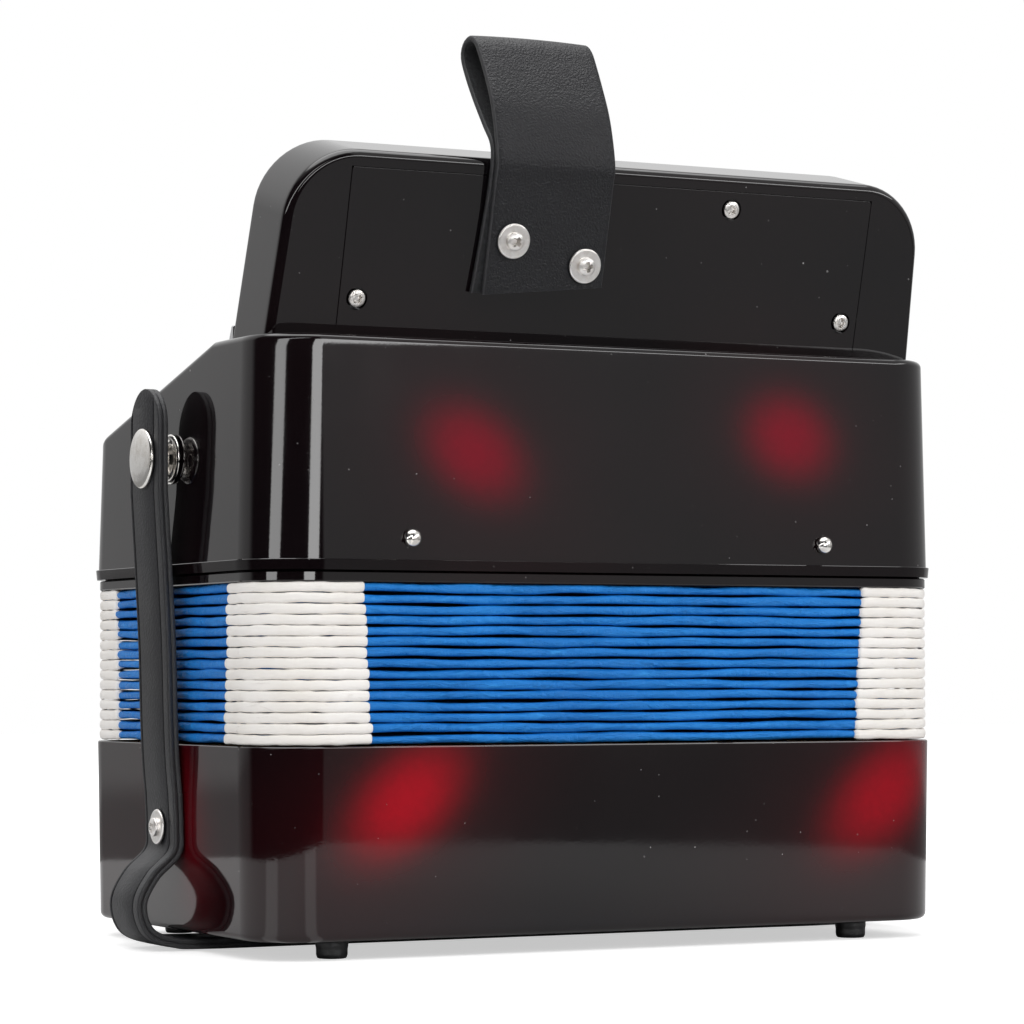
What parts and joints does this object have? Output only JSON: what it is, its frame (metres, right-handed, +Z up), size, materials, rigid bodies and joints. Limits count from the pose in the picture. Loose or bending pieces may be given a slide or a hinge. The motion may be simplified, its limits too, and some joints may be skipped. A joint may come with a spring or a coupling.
{
  "type": "button accordion",
  "caption": "Small button accordion standing on its bass end: gloss black cases, blue and white folded bellows, leather thumb strap and hand strap, and bellows straps on press studs.",
  "frame": {"origin": "on the surface it stands on, under the middle of the box", "axes": "+X along the wide side, -Y towards the player's side with the thumb strap, +Y towards the grille and buttons, +Z up from the bass end to the treble end"},
  "size_m": [0.2026, 0.1234, 0.2105],
  "materials": {
    "gloss_case": "gloss black moulded plastic",
    "frame": "satin black moulded plastic",
    "wood": "bare softwood",
    "bellows": "blue bookcloth with white leather corners",
    "leather": "black grained leather",
    "nickel": "bright nickel plate",
    "steel": "drawn steel rod",
    "grille": "pressed sheet, satin silver",
    "button": "white pearl plastic",
    "rubber": "black rubber"
  },
  "bodies": {
    "bass_end": {"bass_case": "gloss_case", "bass_bellows_frame": "wood", "bass_pallet_board": "wood", "bass_reed_block": "wood", "bass_key_axle": "steel", "foot_1": "rubber", "foot_2": "rubber", "foot_3": "rubber", "foot_4": "rubber", "hand_strap": "leather", "strap_screw_left": "nickel", "strap_screw_right": "nickel", "fold_01": "bellows"},
    "bellows_fold_02": {"fold_02": "bellows"},
    "bellows_fold_03": {"fold_03": "bellows"},
    "bellows_fold_04": {"fold_04": "bellows"},
    "bellows_fold_05": {"fold_05": "bellows"},
    "bellows_fold_06": {"fold_06": "bellows"},
    "bellows_fold_07": {"fold_07": "bellows"},
    "bellows_fold_08": {"fold_08": "bellows"},
    "bellows_fold_09": {"fold_09": "bellows"},
    "bellows_fold_10": {"fold_10": "bellows"},
    "bellows_fold_11": {"fold_11": "bellows"},
    "bellows_fold_12": {"fold_12": "bellows"},
    "bellows_fold_13": {"fold_13": "bellows"},
    "bellows_fold_14": {"fold_14": "bellows"},
    "treble_end": {"fold_15": "bellows", "treble_bellows_frame": "frame", "treble_case": "gloss_case", "treble_pallet_board": "wood", "treble_reed_block": "wood", "treble_key_axle": "steel", "grille": "grille", "fingerboard": "gloss_case", "fingerboard_cover": "gloss_case", "cover_screw_1": "nickel", "cover_screw_2": "nickel", "cover_screw_3": "nickel", "thumb_strap": "leather", "thumb_strap_screw_1": "nickel", "thumb_strap_screw_2": "nickel", "bellows_pin_left": "nickel", "bellows_pin_right": "nickel", "snap_stud_left": "nickel", "snap_stud_right": "nickel"},
    "treble_key_1": {"treble_key_1": "button"},
    "treble_key_2": {"treble_key_2": "button"},
    "treble_key_3": {"treble_key_3": "button"},
    "treble_key_4": {"treble_key_4": "button"},
    "treble_key_5": {"treble_key_5": "button"},
    "treble_key_6": {"treble_key_6": "button"},
    "treble_key_7": {"treble_key_7": "button"},
    "bass_key_1": {"bass_key_1": "button"},
    "bass_key_2": {"bass_key_2": "button"},
    "air_key": {"air_key": "button"},
    "bellows_strap_left": {"bellows_strap_left": "leather", "snap_cap_left": "nickel"},
    "bellows_strap_right": {"bellows_strap_right": "leather", "snap_cap_right": "nickel"}
  },
  "joints": [
    {"name": "bellows_open_02", "type": "slide", "parent": "bass_end", "child": "bellows_fold_02", "axis": [0, 0, 1], "range_m": [0, 0.01]},
    {"name": "bellows_open_03", "type": "slide", "parent": "bellows_fold_02", "child": "bellows_fold_03", "axis": [0, 0, 1], "range_m": [0, 0.01]},
    {"name": "bellows_open_04", "type": "slide", "parent": "bellows_fold_03", "child": "bellows_fold_04", "axis": [0, 0, 1], "range_m": [0, 0.01]},
    {"name": "bellows_open_05", "type": "slide", "parent": "bellows_fold_04", "child": "bellows_fold_05", "axis": [0, 0, 1], "range_m": [0, 0.01]},
    {"name": "bellows_open_06", "type": "slide", "parent": "bellows_fold_05", "child": "bellows_fold_06", "axis": [0, 0, 1], "range_m": [0, 0.01]},
    {"name": "bellows_open_07", "type": "slide", "parent": "bellows_fold_06", "child": "bellows_fold_07", "axis": [0, 0, 1], "range_m": [0, 0.01]},
    {"name": "bellows_open_08", "type": "slide", "parent": "bellows_fold_07", "child": "bellows_fold_08", "axis": [0, 0, 1], "range_m": [0, 0.01]},
    {"name": "bellows_open_09", "type": "slide", "parent": "bellows_fold_08", "child": "bellows_fold_09", "axis": [0, 0, 1], "range_m": [0, 0.01]},
    {"name": "bellows_open_10", "type": "slide", "parent": "bellows_fold_09", "child": "bellows_fold_10", "axis": [0, 0, 1], "range_m": [0, 0.01]},
    {"name": "bellows_open_11", "type": "slide", "parent": "bellows_fold_10", "child": "bellows_fold_11", "axis": [0, 0, 1], "range_m": [0, 0.01]},
    {"name": "bellows_open_12", "type": "slide", "parent": "bellows_fold_11", "child": "bellows_fold_12", "axis": [0, 0, 1], "range_m": [0, 0.01]},
    {"name": "bellows_open_13", "type": "slide", "parent": "bellows_fold_12", "child": "bellows_fold_13", "axis": [0, 0, 1], "range_m": [0, 0.01]},
    {"name": "bellows_open_14", "type": "slide", "parent": "bellows_fold_13", "child": "bellows_fold_14", "axis": [0, 0, 1], "range_m": [0, 0.01]},
    {"name": "bellows_open_15", "type": "slide", "parent": "bellows_fold_14", "child": "treble_end", "axis": [0, 0, 1], "range_m": [0, 0.01]},
    {"name": "treble_key_1_press", "type": "hinge", "parent": "treble_end", "child": "treble_key_1", "pos_m": [-0.057, -0.035, 0.12802], "axis": [1, 0, 0], "range_deg": [0, 4.5], "stiffness_Nm_per_rad": 0.15, "springref_deg": -8.59},
    {"name": "treble_key_2_press", "type": "hinge", "parent": "treble_end", "child": "treble_key_2", "pos_m": [-0.038, -0.035, 0.12802], "axis": [1, 0, 0], "range_deg": [0, 4.5], "stiffness_Nm_per_rad": 0.15, "springref_deg": -8.59},
    {"name": "treble_key_3_press", "type": "hinge", "parent": "treble_end", "child": "treble_key_3", "pos_m": [-0.019, -0.035, 0.12802], "axis": [1, 0, 0], "range_deg": [0, 4.5], "stiffness_Nm_per_rad": 0.15, "springref_deg": -8.59},
    {"name": "treble_key_4_press", "type": "hinge", "parent": "treble_end", "child": "treble_key_4", "pos_m": [0, -0.035, 0.12802], "axis": [1, 0, 0], "range_deg": [0, 4.5], "stiffness_Nm_per_rad": 0.15, "springref_deg": -8.59},
    {"name": "treble_key_5_press", "type": "hinge", "parent": "treble_end", "child": "treble_key_5", "pos_m": [0.019, -0.035, 0.12802], "axis": [1, 0, 0], "range_deg": [0, 4.5], "stiffness_Nm_per_rad": 0.15, "springref_deg": -8.59},
    {"name": "treble_key_6_press", "type": "hinge", "parent": "treble_end", "child": "treble_key_6", "pos_m": [0.038, -0.035, 0.12802], "axis": [1, 0, 0], "range_deg": [0, 4.5], "stiffness_Nm_per_rad": 0.15, "springref_deg": -8.59},
    {"name": "treble_key_7_press", "type": "hinge", "parent": "treble_end", "child": "treble_key_7", "pos_m": [0.057, -0.035, 0.12802], "axis": [1, 0, 0], "range_deg": [0, 4.5], "stiffness_Nm_per_rad": 0.15, "springref_deg": -8.59},
    {"name": "bass_key_1_press", "type": "hinge", "parent": "bass_end", "child": "bass_key_1", "pos_m": [-0.018, 0.0505, 0.01], "axis": [1, 0, 0], "range_deg": [0, 5.5], "stiffness_Nm_per_rad": 0.08, "springref_deg": -11.46},
    {"name": "bass_key_2_press", "type": "hinge", "parent": "bass_end", "child": "bass_key_2", "pos_m": [0.018, 0.0505, 0.01], "axis": [1, 0, 0], "range_deg": [0, 5.5], "stiffness_Nm_per_rad": 0.08, "springref_deg": -11.46},
    {"name": "air_key_press", "type": "hinge", "parent": "bass_end", "child": "air_key", "pos_m": [0.052, 0.0505, 0.01], "axis": [1, 0, 0], "range_deg": [0, 5.5], "stiffness_Nm_per_rad": 0.08, "springref_deg": -11.46},
    {"name": "bellows_strap_left_swing", "type": "hinge", "parent": "bass_end", "child": "bellows_strap_left", "pos_m": [-0.0928, -0.0022, 0.0363], "axis": [0, -1, 0], "range_deg": [0, 100]},
    {"name": "bellows_strap_right_swing", "type": "hinge", "parent": "bass_end", "child": "bellows_strap_right", "pos_m": [0.0928, -0.0022, 0.0363], "axis": [0, 1, 0], "range_deg": [0, 100]}
  ]
}
